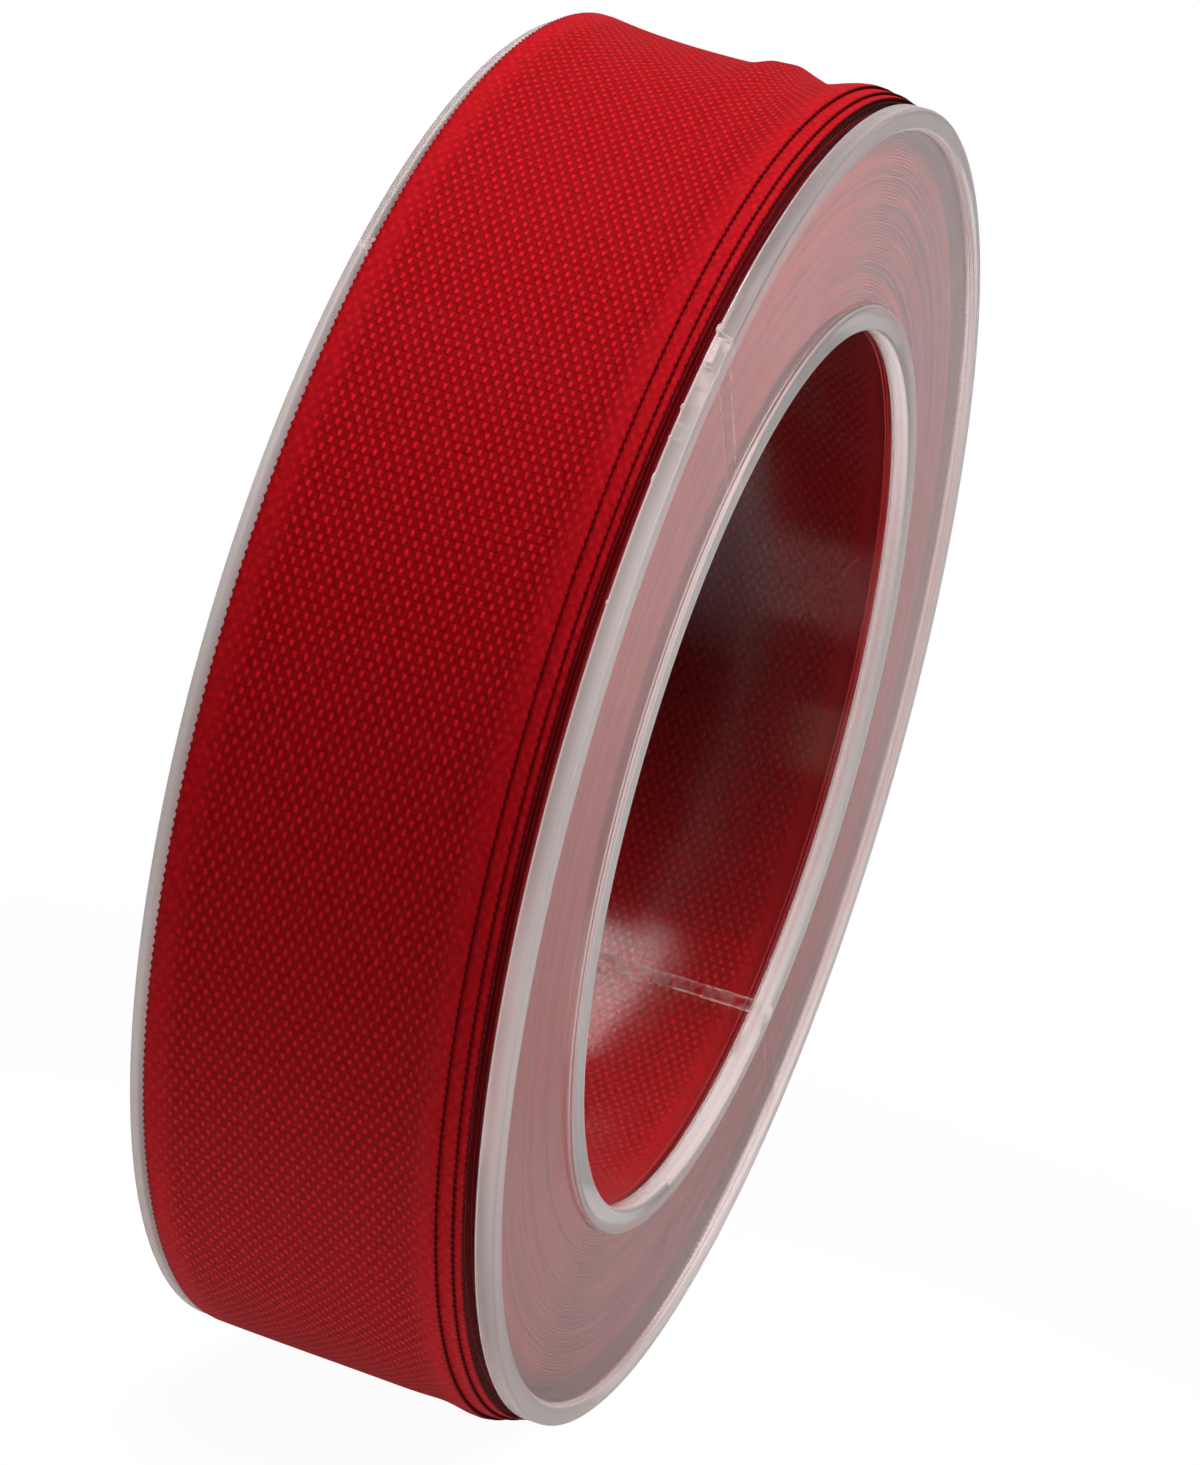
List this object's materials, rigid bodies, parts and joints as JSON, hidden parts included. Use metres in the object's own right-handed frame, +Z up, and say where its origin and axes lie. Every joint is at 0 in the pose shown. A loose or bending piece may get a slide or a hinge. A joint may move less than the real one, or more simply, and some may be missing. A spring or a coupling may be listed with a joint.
{
  "type": "ribbon spool",
  "caption": "Clear moulded ring spool with a wide bore, wound with red woven ribbon; its taped free end lifts off the coil.",
  "frame": {"origin": "centre of the bore, halfway between the two flanges", "axes": "+Z up as the spool stands on its rim, +Y along the bore towards the back flange, front flange faces -Y"},
  "size_m": [0.1166, 0.031, 0.1166],
  "materials": {
    "clear_polystyrene": "clear injection moulded",
    "red_taffeta": "plain woven polyester",
    "clear_tape": "clear film",
    "cream_tape": "paper-backed adhesive"
  },
  "bodies": {
    "spool": {"upper_half_shell": "clear_polystyrene", "lower_half_shell": "clear_polystyrene", "start_tape": "cream_tape", "ribbon_coil": "red_taffeta", "second_turn": "red_taffeta", "outer_turn": "red_taffeta"},
    "free_end": {"free_end": "red_taffeta", "end_tape": "clear_tape"}
  },
  "joints": [
    {"name": "free_end_lift", "type": "hinge", "parent": "spool", "child": "free_end", "pos_m": [0.05794, 0, 0.00507], "axis": [0, -1, 0], "range_deg": [0, 110]}
  ]
}
